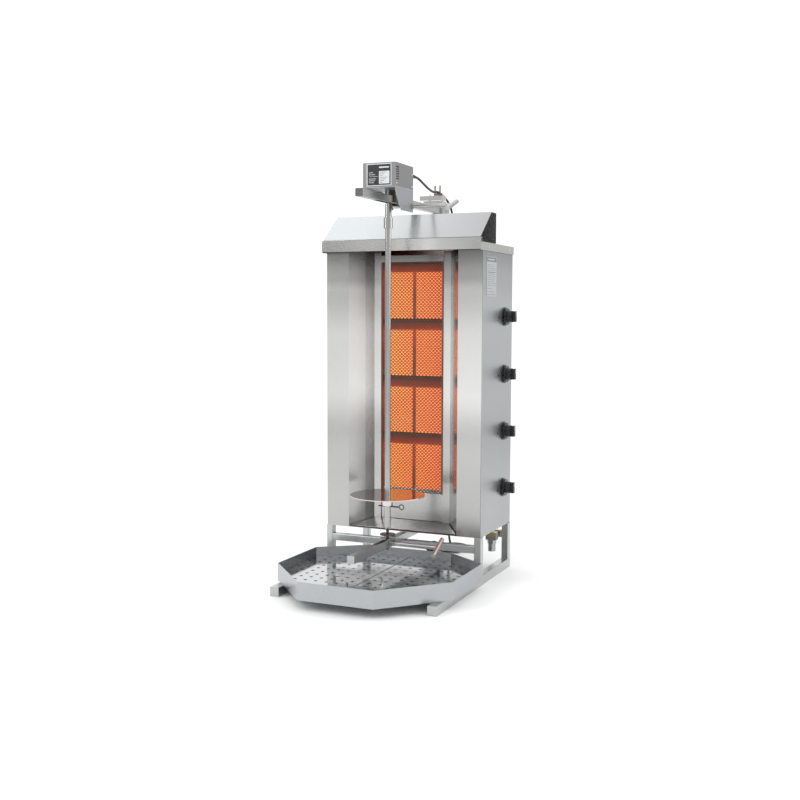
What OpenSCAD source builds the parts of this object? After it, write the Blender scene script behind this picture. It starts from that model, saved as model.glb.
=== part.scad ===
// Vertical gas doner grill: four radiant burners in a steel housing on a tube frame,
// an overhead spit drive that slides on a bar, and an eight-sided drip tray.
// Lengths are in millimetres. +X is the operator's right, +Y the back and +Z up.

/* [Housing] */
// Width of the housing
body_w = 460; // [450:5:480]
// Depth of the housing
body_d = 255; // [250:1:260]
// Height of the housing's underside above the floor
body_z = 132; // [128:1:136]
// Thickness of the housing's sheet steel
sheet = 1.5; // [1:0.1:2]

/* [Burners] */
// Height of the lowest burner's centre above the floor
burner_z = 300; // [298:1:302]
// Height from one burner to the next
burner_pitch = 160; // [156:1:161]
// Width of one ceramic plaque
plaque_w = 84; // [80:1:86]
// Height of one ceramic plaque
plaque_h = 128; // [120:1:130]

/* [Frame] */
// Side of the foot rails' square tube
rail = 25; // [22:1:26]
// Reach of the foot rails in front of the housing
rail_front = 317; // [290:1:340]
// Wall thickness of the tubes
tube_wall = 1.5; // [1.2:0.1:2]
// Height of the upper bar's centre above the floor
upper_bar_z = 1028; // [1026:1:1030]

/* [Spit] */
// Distance of the spit's axis in front of the housing
spit_front = 93; // [90:1:95]
// Diameter of the spit rod
spit_d = 16; // [15:0.5:16]
// Diameter of the meat disc
disc_d = 200; // [160:5:210]

/* [Drip tray] */
// Half the tray's width
tray_half_w = 248; // [244:1:252]
// Height of the tray's wall
tray_h = 46; // [40:1:46]

/* [Motor cord] */
// Diameter of the motor's cord
cord_d = 6.5; // [6:0.5:6.5]
// Length of cord wound into the coil
coil_length = 1200; // [1000:100:1400]

/* [Hidden] */
$fn = 48;

// Colours
steel = "#b4b7b9";
bright_steel = "#cfd2d3";
dark_steel = "#6f7172";
box_grey = "#8f9091";
black = "#1c1c1d";
ceramic = "#f08a45";
brass = "#b79b5b";

// The frame's origin is the middle of the base of the whole object, cords aside. The parts
// are drawn about the housing's middle plane and front face, and in_frame() moves them there.
knob_reach = 264;
tray_front = 405;
bar_back = 325;
mid_x = (tray_half_w - knob_reach) / 2;
front_y = (tray_front - bar_back) / 2;

// Clearances between moving parts: across a gap, and on the radius of a running fit
gap = 0.3;
fit = 0.05;

// Frame
half_w = body_w / 2;
tube = 20;
cap_t = 1.5;
rail_x = half_w + 2 - rail / 2;
post_x = half_w + 2 - tube / 2;
post_ys = [tube / 2, body_d - tube / 2];
cross_z = 97;
lower_bar_z = cross_z + tube;
lower_bar_front = 316;
upper_bar_front = 269;
drive_slot_w = 14;
pin_slot_w = 10;
mast_side = 30;
mast_y = body_d + mast_side / 2;
bar_top = upper_bar_z + tube / 2;
head_top = bar_top + 8;
clamp_bolt_xs = [-30, 10];
fork_at = [-3, 262, head_top + 25];
fork_half_w = 10;

// Housing
body_top = 900;
mouth_half_w = 162;
fold = [131.5, 44];
throat_half_w = 115;
guard_y = 70;
guard_half_w = 94;
wing_line = [
    [half_w - sheet / 2, sheet / 2], [mouth_half_w, sheet / 2], fold,
    [throat_half_w, guard_y], [guard_half_w + gap, guard_y]
];

// Burners and guard
burner_zs = [for (i = [0:3]) burner_z + i * burner_pitch];
plaque_gap = 9;
plaque_t = 12;
burner_y = 88;
burner_w = 2 * plaque_w + plaque_gap;
burner_wall = 3;
burner_depth = 42;
mixer_y = 142;
mixer_d = 28;
plate_y = 92;
plate_bottom = 150;
guard_bottom = 228;
guard_top = 872;
header_h = 18;

// Cap and hood
fascia_y = -22;
fascia_bottom = 899;
fascia_top = 928;
roof_z = 918;
cap_half_w = half_w + 3;
hood_t = 1.2;
hood_line = [[-19, 930], [67, 1000], [107, 1000], [107, 919]];

// Spit and drive
spit_y = -spit_front;
shaft_d = 12;
shaft_top = 1070;
collar_z = 952;
sleeve_z = 979;
socket_top = 1012;
sleeve_top = 1015;
shoulder_z = 955;
tang = 10;
tang_top = 990;
tip_z = 139.4;
cone_z = 160;
retainer_z = 216;
retainer_d = 4;
disc_z = 245;
disc_t = 2;
bearing_top = 141.5;

// Motor carriage, which slides this far out to the front and in to the burners
slide_out = 70;
slide_in = 40;
box_half_w = 46;
box_front = -150;
box_back = -35;
box_z = 1053;
box_top = 1115;
box_t = 1.2;
gland_at = [35, box_back, 1094];
gland_l = 37.7;
lever_d = 9;
upper_lever_at = [160, -44, 1012];
lower_lever_at = [145, spit_y, lower_bar_z];
handle_d = 12;
handle_l = 70;

// Knobs and gas
knob_y = 187;
knob_zs = [for (z = burner_zs) z - 58];
bezel_x = half_w + 3;
stem_d = 8;
stem_travel = 3;
valve_x = 196;
valve_w = 36;
valve_h = 28;
nose_x = 228;
manifold_x = valve_x - valve_w / 2 - tube / 2;
pipe_d = 8;
pipe_y = 160;
inlet_at = [190, 215, 94];

// Tray
tray_z = rail + gap;
tray_t = 1.2;
insert_z = 46;
tray_outline = [
    [-tray_half_w, -249], [-103, -tray_front], [103, -tray_front], [tray_half_w, -249],
    [tray_half_w, -35], [129, 50], [-129, 50], [-tray_half_w, -35]
];
hole_d = 9;
hole_pitch = [30, 32];

// Motor cord: out of the gland, through the fork on the mast, and down behind the housing
cord_route = [
    [35, 3, 1094], [35, 20, 1093], [34, 40, 1090], [31, 65, 1086], [28, 90, 1082],
    [24, 115, 1079], [20, 140, 1077], [15, 165, 1076], [10, 190, 1076], [6, 210, 1077],
    [2, 230, 1079], [-1, 245, 1081], [-3, 262, 1082.5], [-1, 278, 1080], [3, 292, 1074],
    [9, 303, 1064], [15, 312, 1050], [20, 317, 1032], [23, 320, 1010], [24, 321, 985],
    [24, 321, 940], [23, 321, 860], [22, 321, 740], [20, 321, 600], [18, 321, 460],
    [17, 321, 320], [16, 321, 200], [16, 321, 120], [16, 322, 80], [17, 325, 50],
    [21, 331, 28], [28, 341, 12], [35, 354, 5], [40, 366, 3.5], [41, 380, 3.5]
];
coil_at = [3, 392];
coil_mean_d = 76;
coil_rows = 2;
coil_columns = ceil(coil_length / (PI * coil_mean_d) / coil_rows);
plug_d = 36;
plug_y = 344;

// ---------- helpers ----------

module in_frame() {
    translate([mid_x, front_y, 0])
        children();
}

// Square with rounded corners, centred.
module rounded_rect(w, h, r) {
    square([w, h - 2 * r], center = true);
    square([w - 2 * r, h], center = true);
    for (x = [-1, 1], y = [-1, 1])
        translate([x * (w / 2 - r), y * (h / 2 - r)])
            circle(r);
}

module tube_section(size) {
    difference() {
        rounded_rect(size, size, 2);
        square(size - 2 * tube_wall, center = true);
    }
}

// Square tubes that run along +X, +Y and +Z from the origin.
module tube_along_x(size, length) {
    rotate([0, 90, 0])
        linear_extrude(length)
            tube_section(size);
}

module tube_along_y(size, length) {
    rotate([-90, 0, 0])
        linear_extrude(length)
            tube_section(size);
}

module tube_along_z(size, length) {
    linear_extrude(length)
        tube_section(size);
}

// Cylinders that run along +X and +Y from the origin.
module rod_along_x(d, length) {
    rotate([0, 90, 0])
        cylinder(d = d, h = length);
}

module rod_along_y(d, length) {
    rotate([-90, 0, 0])
        cylinder(d = d, h = length);
}

// Box given by its lowest and highest corners.
module block(low, high) {
    translate(low)
        cube(high - low);
}

function unit(v) = v / norm(v);
function left_of(v) = [-v.y, v.x];

// Half of a bent sheet's width at point i of its line, square to the line or along the mitre.
function half_width(line, i, t) =
    let (before = left_of(unit(line[max(i, 1)] - line[max(i, 1) - 1])))
    let (last = len(line) - 2)
    let (after = left_of(unit(line[min(i, last) + 1] - line[min(i, last)])))
    (before + after) * t / 2 / (1 + before * after);

// Section of a sheet of thickness t that is bent along a line of points.
module bent_strip(line, t) {
    ends = len(line) - 1;
    polygon([
        for (i = [0:ends]) line[i] - half_width(line, i, t),
        for (i = [ends:-1:0]) line[i] + half_width(line, i, t)
    ]);
}

// Profile drawn in Y and Z, extruded along X and centred on it.
module profile_along_x(length) {
    translate([-length / 2, 0, 0])
        rotate([90, 0, 90])
            linear_extrude(length)
                children();
}

// Inward normal of the edge that starts at point i of an anticlockwise outline.
function inward(outline, i) =
    left_of(unit(outline[(i + 1) % len(outline)] - outline[i]));

// Convex outline moved inwards by d.
function inset(outline, d) = [
    for (i = [0:len(outline) - 1])
        let (a = inward(outline, (i + len(outline) - 1) % len(outline)))
        let (b = inward(outline, i))
        outline[i] + (a + b) * d / (1 + a * b)
];

// Least distance of a point inside a convex outline from its edges.
function depth_inside(point, outline) =
    min([for (i = [0:len(outline) - 1]) (point - outline[i]) * inward(outline, i)]);

// ---------- tube frame ----------

module foot_rail(side) {
    color(steel)
        in_frame()
            translate([side * rail_x, cap_t - rail_front, rail / 2])
                tube_along_y(rail, rail_front + body_d - 2 * cap_t);
}

module foot_rail_left() {
    foot_rail(-1);
}

module foot_rail_right() {
    foot_rail(1);
}

// Welded cap on the open end of a tube, with its spigot pointing along dir in Y.
module end_cap(at, size, dir) {
    translate(at)
        rotate([-90 * dir, 0, 0]) {
            linear_extrude(cap_t)
                rounded_rect(size, size, 2);
            linear_extrude(cap_t + 4)
                square(size - 2 * tube_wall, center = true);
        }
}

module tube_end_caps() {
    color(steel)
        in_frame() {
            for (side = [-1, 1]) {
                end_cap([side * rail_x, -rail_front, rail / 2], rail, 1);
                end_cap([side * rail_x, body_d, rail / 2], rail, -1);
            }
            end_cap([0, -lower_bar_front, lower_bar_z], tube, 1);
            end_cap([0, -upper_bar_front, upper_bar_z], tube, 1);
            end_cap([0, bar_back, upper_bar_z], tube, -1);
        }
}

module frame_posts() {
    color(steel)
        in_frame()
            for (side = [-1, 1], y = post_ys)
                translate([side * post_x, y, rail])
                    tube_along_z(tube, body_z - sheet - rail);
}

module cross_tubes() {
    span = 2 * post_x - tube;
    color(steel)
        in_frame()
            for (y = post_ys)
                translate([-span / 2, y, cross_z])
                    tube_along_x(tube, span);
}

// Slot through the top and bottom walls of a bar, for the piece that slides along it.
module bar_slot(z, width) {
    low = [-width / 2, spit_y - slide_out - width, z - tube];
    high = [width / 2, spit_y + slide_in + width, z + tube];
    block(low, high);
}

module lower_bar() {
    color(steel)
        in_frame()
            difference() {
                translate([0, cap_t - lower_bar_front, lower_bar_z])
                    tube_along_y(tube, lower_bar_front + body_d - cap_t);
                bar_slot(lower_bar_z, pin_slot_w);
            }
}

module upper_bar() {
    color(bright_steel)
        in_frame()
            difference() {
                translate([0, cap_t - upper_bar_front, upper_bar_z])
                    tube_along_y(tube, upper_bar_front + bar_back - 2 * cap_t);
                bar_slot(upper_bar_z, drive_slot_w);
            }
}

module mast() {
    color(steel)
        in_frame()
            translate([0, mast_y, cross_z - tube / 2])
                tube_along_z(mast_side, upper_bar_z - cross_z);
}

// Saddle that holds the upper bar on the top of the mast.
module mast_head() {
    half = mast_side / 2;
    color(dark_steel)
        in_frame()
            difference() {
                block([-half, mast_y - half, upper_bar_z - tube / 2], [half, mast_y + half, head_top]);
                block([-tube / 2, body_d - 1, 0], [tube / 2, bar_back, bar_top]);
            }
}

// The two plates above the bar, which hold it down in the saddle.
module height_clamp() {
    color(bright_steel)
        in_frame()
            difference() {
                union() {
                    block([-43, mast_y - 18, head_top], [15, mast_y + 18, head_top + 10]);
                    block([-55, mast_y - 18, head_top + 12.5], [14, mast_y + 18, head_top + 25]);
                }
                for (x = clamp_bolt_xs)
                    translate([x, mast_y, head_top - 1])
                        cylinder(d = 6, h = 30);
            }
}

// Two prongs that keep the motor's cord at the top of the mast.
module cord_fork() {
    color(dark_steel)
        in_frame()
            translate(fork_at) {
                block([-fork_half_w, -4, 0], [fork_half_w, 4, 8]);
                for (side = [-1, 1])
                    translate([side * (fork_half_w - 2.2), 0, 8])
                        cylinder(d = 4.4, h = 22);
            }
}

// ---------- housing ----------

module side_panel(side) {
    color(steel)
        in_frame()
            difference() {
                translate([side * (half_w - sheet / 2) - sheet / 2, sheet, body_z])
                    cube([sheet, body_d - 2 * sheet, body_top - body_z]);
                if (side > 0)
                    for (z = knob_zs)
                        translate([nose_x - 1, knob_y, z])
                            rod_along_x(stem_d + 6, 5);
            }
}

module side_panel_left() {
    side_panel(-1);
}

module side_panel_right() {
    side_panel(1);
}

// Front face, two angled reflector faces and the flange beside the burners, in one sheet.
module wing() {
    color(steel)
        translate([0, 0, body_z])
            linear_extrude(body_top - body_z)
                bent_strip(wing_line, sheet);
}

module wing_left() {
    in_frame()
        mirror([1, 0, 0])
            wing();
}

module wing_right() {
    in_frame()
        wing();
}

module back_panel() {
    color(steel)
        in_frame()
            block([-half_w, body_d - sheet, body_z], [half_w, body_d, body_top]);
}

// Level bottom with the hole for the gas riser, and the sloped sheet in the mouth above it.
module floor_panel() {
    mouth = [
        for (p = [[-mouth_half_w, 1], [-fold.x, fold.y], [-throat_half_w, guard_y]])
            p + [3, -2],
        for (p = [[throat_half_w, guard_y], [fold.x, fold.y], [mouth_half_w, 1]])
            p + [-3, -2]
    ];
    color(steel)
        in_frame() {
            difference() {
                block([-half_w, 0, body_z - sheet], [half_w, body_d, body_z]);
                translate([inlet_at.x, inlet_at.y, body_z - sheet - 1])
                    cylinder(d = 16, h = 5);
            }
            intersection() {
                profile_along_x(body_w)
                    bent_strip([[0, body_z + 4], [guard_y, body_z + 18]], sheet);
                linear_extrude(body_top)
                    polygon(mouth);
            }
        }
}

// Sheet behind the guard, with a window for each burner.
module burner_plate() {
    color(dark_steel)
        in_frame()
            difference() {
                block([-120, plate_y, plate_bottom], [120, plate_y + sheet, body_top - 10]);
                for (z = burner_zs)
                    translate([0, plate_y, z])
                        cube([burner_w + 2 * burner_wall, 10, plaque_h + 2 * burner_wall], center = true);
            }
}

// Cast box that holds two plaques, with its mixing tube across the back.
module burner_body() {
    w = burner_w / 2;
    h = plaque_h / 2;
    difference() {
        union() {
            block([-w - burner_wall, burner_y - 2, -h - burner_wall],
                [w + burner_wall, burner_y + burner_depth, h + burner_wall]);
            translate([-30, mixer_y, 0])
                rod_along_x(mixer_d, 125);
        }
        block([-w, burner_y - 3, -h], [w, burner_y + burner_depth - 3, h]);
        translate([-20, mixer_y, 0])
            rod_along_x(mixer_d - 6, 116);
    }
    block([-plaque_gap / 2, burner_y - 2, -h], [plaque_gap / 2, burner_y + plaque_t, h]);
}

module burner_bodies() {
    color(dark_steel)
        in_frame()
            for (z = burner_zs)
                translate([0, 0, z])
                    burner_body();
}

module burner_plaques() {
    offset_x = (plaque_w + plaque_gap) / 2;
    color(ceramic)
        in_frame()
            for (z = burner_zs, side = [-1, 1])
                translate([side * offset_x, burner_y + plaque_t / 2, z])
                    cube([plaque_w, plaque_t, plaque_h], center = true);
}

// Header strip that the mesh hangs from, and the blank sheet below it.
module guard_frame() {
    color(steel)
        in_frame() {
            block([-guard_half_w, guard_y - 3, guard_top],
                [guard_half_w, guard_y + 3, guard_top + header_h]);
            block([-guard_half_w, guard_y + 3, body_z + 19],
                [guard_half_w, guard_y + 3 + sheet, guard_bottom + 12]);
        }
}

// Grid of bars between the mesh's two edge strips.
module mesh_guard() {
    wire = 1.6;
    edge = 4;
    rows = 20;
    columns = 8;
    w = 2 * (guard_half_w - edge);
    h = guard_top - guard_bottom;
    color(dark_steel)
        in_frame() {
            for (i = [1:columns - 1])
                translate([i * w / columns - w / 2 - wire / 2, guard_y - wire, guard_bottom])
                    cube([wire, wire, h]);
            for (i = [0:rows - 1])
                translate([-w / 2 - 1, guard_y, guard_bottom + i * h / rows])
                    cube([w + 2, wire, wire]);
            for (x = [-guard_half_w, guard_half_w - edge])
                translate([x, guard_y - 1, guard_bottom])
                    cube([edge, 3, h]);
        }
}

// Roof sheet with the raised fascia at the front and a skirt on the other three sides.
module cap() {
    color(steel)
        in_frame() {
            profile_along_x(2 * cap_half_w)
                bent_strip([
                    [fascia_y + 10, fascia_bottom], [fascia_y, fascia_bottom],
                    [fascia_y, fascia_top], [fascia_y + 8, fascia_top],
                    [fascia_y + 8, roof_z - 1], [body_d - sheet / 2, roof_z - 1],
                    [body_d - sheet / 2, body_top + gap]
                ], sheet);
            for (side = [-1, 1])
                translate([side * (cap_half_w - sheet / 2) - sheet / 2, fascia_y, fascia_bottom - 3])
                    cube([sheet, body_d - fascia_y, roof_z - fascia_bottom + 2]);
        }
}

module hood() {
    color(bright_steel)
        in_frame()
            profile_along_x(body_w)
                bent_strip(hood_line, hood_t);
}

// Blank plate with rounded corners, standing on a plane that faces +Z.
module blank_plate(w, h) {
    linear_extrude(0.8)
        rounded_rect(w, h, 4);
}

module rating_plate() {
    color(bright_steel)
        in_frame()
            translate([half_w, 71, 829])
                rotate([90, 0, 90])
                    blank_plate(80, 106);
}

// Round-headed screw that stands on a plane that faces +Z.
module screw_head(d) {
    cylinder(d = d, h = 1.2);
    translate([0, 0, 1.2])
        cylinder(d1 = d, d2 = d * 0.55, h = 1.4);
}

// Screws of the back panel and the cap's skirts, and the two bolts of the height clamp.
module panel_screws() {
    color(bright_steel)
        in_frame() {
            for (side = [-1, 1]) {
                for (z = [160, 400, 640, 880])
                    translate([side * 215, body_d, z])
                        rotate([-90, 0, 0])
                            screw_head(8);
                for (y = [40, 215])
                    translate([side * cap_half_w, y, 907])
                        rotate([0, side * 90, 0])
                            screw_head(6);
            }
            for (x = clamp_bolt_xs)
                translate([x, mast_y, head_top])
                    cylinder(d = 6, h = 30);
        }
}

// ---------- gas ----------

module gas_manifold() {
    bottom = knob_zs[0] - 30;
    color(steel)
        in_frame() {
            translate([manifold_x, knob_y, bottom])
                tube_along_z(tube, knob_zs[3] + 30 - bottom);
            for (z = [bottom, knob_zs[3] + 30])
                translate([manifold_x, knob_y, z])
                    linear_extrude(2)
                        rounded_rect(tube, tube, 2);
        }
}

module gas_valves() {
    color(brass)
        in_frame()
            for (z = knob_zs)
                translate([valve_x, knob_y, z])
                    difference() {
                        union() {
                            cube([valve_w, 24, valve_h], center = true);
                            translate([valve_w / 2, 0, 0])
                                rod_along_x(stem_d + 5, nose_x - valve_x - valve_w / 2);
                        }
                        translate([4, 0, 0])
                            rod_along_x(stem_d + 2 * fit, 40);
                    }
}

// Pipe from a valve to its burner's injector, at the height of the valve's knob.
module gas_pipe(rise) {
    start = [valve_x, knob_y - 12, 0];
    corner = [valve_x, pipe_y, 0];
    injector_x = 97;
    translate(start)
        rotate([90, 0, 0])
            cylinder(d = pipe_d, h = start.y - pipe_y);
    translate(corner) {
        sphere(d = pipe_d);
        cylinder(d = pipe_d, h = rise);
    }
    translate([valve_x, pipe_y, rise])
        sphere(d = pipe_d);
    translate([injector_x + 8, pipe_y, rise])
        rod_along_x(pipe_d, valve_x - injector_x - 8);
    translate([injector_x + 8, pipe_y, rise])
        sphere(d = pipe_d);
    translate([injector_x + 8, mixer_y, rise])
        rod_along_y(pipe_d, pipe_y - mixer_y);
    translate([injector_x, mixer_y, rise])
        rod_along_x(16, 14);
}

module gas_pipes() {
    color(brass)
        in_frame()
            for (i = [0:3])
                translate([0, 0, knob_zs[i]])
                    gas_pipe(burner_zs[i] - knob_zs[i]);
}

// Riser, elbow body, hexagon and threaded end that the gas hose screws on to.
module gas_inlet() {
    color(brass)
        in_frame()
            translate(inlet_at) {
                cylinder(d = 14, h = 60);
                cube([30, 24, 22], center = true);
                translate([0, 0, -22])
                    cylinder(d = 27, h = 11, $fn = 6);
                translate([0, 0, -44])
                    cylinder(d = 20.95, h = 22);
            }
}

module knob_bezels() {
    color(black)
        in_frame()
            for (z = knob_zs) {
                translate([half_w, knob_y, z])
                    difference() {
                        rod_along_x(52, bezel_x - half_w);
                        translate([-1, 0, 0])
                            rod_along_x(stem_d + 6, 10);
                    }
                translate([half_w, 137, z - 3])
                    rod_along_x(6, 1);
            }
}

module valve_stem(i) {
    color(bright_steel)
        in_frame()
            translate([valve_x + 4 + stem_travel + 3, knob_y, knob_zs[i]])
                rod_along_x(stem_d, 46);
}

module valve_stem_1() {
    valve_stem(3);
}

module valve_stem_2() {
    valve_stem(2);
}

module valve_stem_3() {
    valve_stem(1);
}

module valve_stem_4() {
    valve_stem(0);
}

// Skirt, round body and grip bar, on the end of a valve stem.
module knob(i) {
    skirt_x = bezel_x + stem_travel + gap;
    color(black)
        in_frame()
            translate([0, knob_y, knob_zs[i]])
                difference() {
                    union() {
                        translate([skirt_x, 0, 0])
                            rod_along_x(46, 4);
                        translate([skirt_x + 4, 0, 0])
                            rod_along_x(32, 14);
                        block([skirt_x + 18, -6, -15], [knob_reach, 6, 15]);
                    }
                    translate([skirt_x - 1, 0, 0])
                        rod_along_x(stem_d + 2 * fit, 18);
                }
}

module knob_1() {
    knob(3);
}

module knob_2() {
    knob(2);
}

module knob_3() {
    knob(1);
}

module knob_4() {
    knob(0);
}

// ---------- motor carriage ----------

module lever_hole(at, length) {
    translate([-length / 2, at.y, at.z])
        rod_along_x(lever_d + 2 * fit, length);
}

// Plate under the motor box, with a cheek down its right side and a short left flange.
module carriage_frame() {
    cheek = [
        [box_front, box_z], [box_front, box_z - 5], [-145, 1034], [-112, 996],
        [box_back, 996], [box_back, box_z]
    ];
    color(box_grey)
        in_frame()
            difference() {
                union() {
                    block([-box_half_w, box_front, box_z - sheet], [box_half_w, box_back, box_z]);
                    block([-box_half_w, box_front, box_z - 10],
                        [-box_half_w + sheet, box_back, box_z]);
                    translate([box_half_w - sheet / 2, 0, 0])
                        profile_along_x(sheet)
                            polygon(cheek);
                }
                translate([0, spit_y, box_z - 5])
                    cylinder(d = shaft_d + 4, h = 10);
                lever_hole(upper_lever_at, 4 * box_half_w);
            }
}

// Block under the plate that runs on the bar's top and sides, with an ear for the clamp rod.
module guide_shoe() {
    inner = tube / 2 + gap;
    color(dark_steel)
        in_frame()
            difference() {
                union() {
                    block([-inner - 6, -78, upper_bar_z - 8],
                        [inner + 6, -37, box_z - sheet]);
                    block([-inner - 6, -53, upper_lever_at.z - 8],
                        [-inner, -37, upper_bar_z]);
                }
                block([-inner, -79, 0], [inner, 0, bar_top + gap]);
                lever_hole(upper_lever_at, 4 * box_half_w);
            }
}

// Box over the motor, with louvres in its right side and a hole for the cord's gland.
module motor_housing() {
    in = box_half_w - box_t;
    color(box_grey)
        in_frame()
            difference() {
                block([-box_half_w, box_front, box_z], [box_half_w, box_back, box_top]);
                block([-in, box_front + box_t, box_z - 1], [in, box_back - box_t, box_top - box_t]);
                for (i = [0:5])
                    block([in - 1, -146, 1072 + 6 * i], [box_half_w + 1, -128, 1075 + 6 * i]);
                translate(gland_at - [0, 5, 0])
                    rod_along_y(10, 10);
            }
}

module type_plate() {
    color(black)
        in_frame()
            translate([0, box_front, 1084])
                rotate([90, 0, 0])
                    blank_plate(70, 56);
}

module gearbox() {
    color(dark_steel)
        in_frame()
            difference() {
                block([-34, -135, box_z], [34, -50, 1077]);
                translate([0, spit_y, box_z - 1])
                    cylinder(d = shaft_d + 2 * fit, h = shaft_top + 2 - box_z);
            }
}

module drive_motor() {
    color(steel)
        in_frame()
            translate([0, -96, 1077]) {
                cylinder(d = 58, h = 30);
                cylinder(d = 66, h = 4);
            }
}

// Threaded collar and nut, with the tapered strain relief behind the box.
module cord_gland() {
    color(black)
        in_frame()
            translate(gland_at) {
                translate([0, -5, 0])
                    rod_along_y(9.8, 5);
                translate([0, -4.5, 0])
                    rod_along_y(15, 3);
                rod_along_y(16, 6);
                rotate([-90, 0, 0])
                    cylinder(d1 = 13, d2 = cord_d + 1.5, h = gland_l);
            }
}

// Motor shaft, sleeve and collar, with the square socket that turns the spit.
module drive_sleeve() {
    color(steel)
        in_frame()
            translate([0, spit_y, 0])
                difference() {
                    union() {
                        translate([0, 0, sleeve_top])
                            cylinder(d = shaft_d, h = shaft_top - sleeve_top);
                        translate([0, 0, sleeve_z])
                            cylinder(d = 18, h = sleeve_top - sleeve_z);
                        translate([0, 0, collar_z])
                            cylinder(d = 24, h = sleeve_z - collar_z);
                    }
                    translate([0, 0, collar_z - 1])
                        cylinder(d = spit_d + 2 * gap, h = sleeve_z - collar_z + 1);
                    translate([0, 0, (sleeve_z + socket_top) / 2])
                        cube([tang + 2 * gap, tang + 2 * gap, socket_top - sleeve_z + 1], center = true);
                }
}

// Round rod with a cone at its foot, a cross hole and a square tang at its head.
module spit_rod() {
    color(steel)
        in_frame()
            translate([0, spit_y, 0])
                difference() {
                    union() {
                        translate([0, 0, tip_z])
                            cylinder(d1 = 2, d2 = spit_d, h = cone_z - tip_z);
                        translate([0, 0, cone_z])
                            cylinder(d = spit_d, h = shoulder_z - cone_z);
                        translate([-tang / 2, -tang / 2, shoulder_z])
                            cube([tang, tang, tang_top - shoulder_z]);
                    }
                    translate([-spit_d, 0, retainer_z])
                        rod_along_x(retainer_d + 2 * fit, 2 * spit_d);
                }
}

module meat_disc() {
    hub_z = retainer_z + retainer_d / 2 + gap;
    color(steel)
        in_frame()
            translate([0, spit_y, 0])
                difference() {
                    union() {
                        translate([0, 0, disc_z])
                            cylinder(d = disc_d, h = disc_t, $fn = 96);
                        translate([0, 0, hub_z])
                            cylinder(d = 28, h = disc_z - hub_z);
                    }
                    cylinder(d = spit_d + 2 * fit, h = body_top);
                }
}

// Straight pin through the spit, with a pull ring.
module retaining_pin() {
    ring_r = 6.5;
    pin_end = 34;
    color(bright_steel)
        in_frame()
            translate([0, spit_y, retainer_z]) {
                translate([-26, 0, 0])
                    rod_along_x(retainer_d, 26 + pin_end);
                translate([pin_end + ring_r, 0, 0])
                    rotate([90, 0, 0])
                        rotate_extrude()
                            translate([ring_r, 0])
                                circle(d = 2.6, $fn = 24);
            }
}

// Clip that slides on the lower bar, with a boss for the clamp screw.
module lower_saddle() {
    inner = tube / 2 + gap;
    outer = inner + 5;
    top = lower_bar_z + tube / 2 + gap;
    color(steel)
        in_frame()
            difference() {
                union() {
                    block([-outer, spit_y - 19, lower_bar_z - 8], [outer, spit_y + 19, top + 3.5]);
                    translate([outer, spit_y, lower_bar_z])
                        rod_along_x(16, 6);
                }
                block([-inner, spit_y - 20, 0], [inner, spit_y + 20, top]);
                translate([0, spit_y, lower_bar_z])
                    rod_along_x(lever_d + 2 * fit, 40);
                translate([0, spit_y, 0])
                    cylinder(d = 8, h = body_top);
            }
}

// Pin through the saddle and the bar, with the dished disc that the spit's tip turns in.
module bearing_pin() {
    color(dark_steel)
        in_frame()
            translate([0, spit_y, 0])
                difference() {
                    union() {
                        translate([0, 0, 99])
                            cylinder(d = 8, h = bearing_top - 99);
                        translate([0, 0, bearing_top - 3])
                            cylinder(d = 41, h = 3);
                    }
                    translate([0, 0, bearing_top - 3])
                        cylinder(d1 = 1, d2 = 10, h = 3.01);
                }
}

// Handle across the end of a clamp rod, turned up from +Y by an angle.
module cross_handle(angle) {
    rotate([angle, 0, 0])
        translate([0, -handle_l / 2, 0])
            rod_along_y(handle_d, handle_l);
}

// Rod through the ear and the cheek, with a cam under the bar, collars and a handle.
module upper_clamp_lever() {
    at = upper_lever_at;
    cam_r = 5;
    cam_z = upper_bar_z - tube / 2 - gap - cam_r;
    ear_x = -tube / 2 - 6 - 2 * gap;
    color(bright_steel)
        in_frame() {
            translate([ear_x - 5, at.y, at.z])
                rod_along_x(lever_d, at.x - ear_x + 5);
            translate([-9, at.y, cam_z])
                rod_along_x(2 * cam_r, 18);
            for (x = [ear_x - 4, box_half_w + gap])
                translate([x, at.y, at.z])
                    rod_along_x(14, 4);
            translate(at)
                cross_handle(19);
        }
}

// Clamp screw whose tip bears on the side of the lower bar.
module lower_clamp_lever() {
    at = lower_lever_at;
    tip_x = tube / 2 + 2 * gap;
    color(bright_steel)
        in_frame() {
            translate([tip_x, at.y, at.z])
                rod_along_x(lever_d, at.x - tip_x);
            translate(at)
                cross_handle(27);
        }
}

// ---------- drip tray ----------

module drip_tray() {
    color(steel)
        in_frame()
            translate([0, 0, tray_z])
                difference() {
                    linear_extrude(tray_h)
                        polygon(tray_outline);
                    translate([0, 0, tray_t])
                        linear_extrude(tray_h)
                            polygon(inset(tray_outline, tray_t));
                }
}

// Half of the perforated insert, with its seam flange, three feet and lifting knob.
module tray_insert(side, knob_at) {
    floor_z = tray_z + tray_t + gap;
    outline = inset(tray_outline, tray_t + 1.5);
    feet = [[219, -80], [219, -208], [99, -368]];
    color(bright_steel)
        in_frame() {
            translate([0, 0, insert_z - tray_t])
                linear_extrude(tray_t)
                    difference() {
                        intersection() {
                            polygon(outline);
                            translate([side * 250.5 - 250, -500])
                                square([500, 700]);
                        }
                        perforations(side, outline, knob_at);
                    }
            translate([side * 1.1 - 0.6, -tray_front + 8, floor_z])
                cube([1.2, tray_front + 34, insert_z - floor_z]);
            for (p = feet)
                translate([side * p.x, p.y, floor_z])
                    cylinder(d = 8, h = insert_z - floor_z - 0.6);
            translate([knob_at.x, knob_at.y, insert_z - 0.6])
                cylinder(d = 7, h = 13);
        }
}

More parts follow.
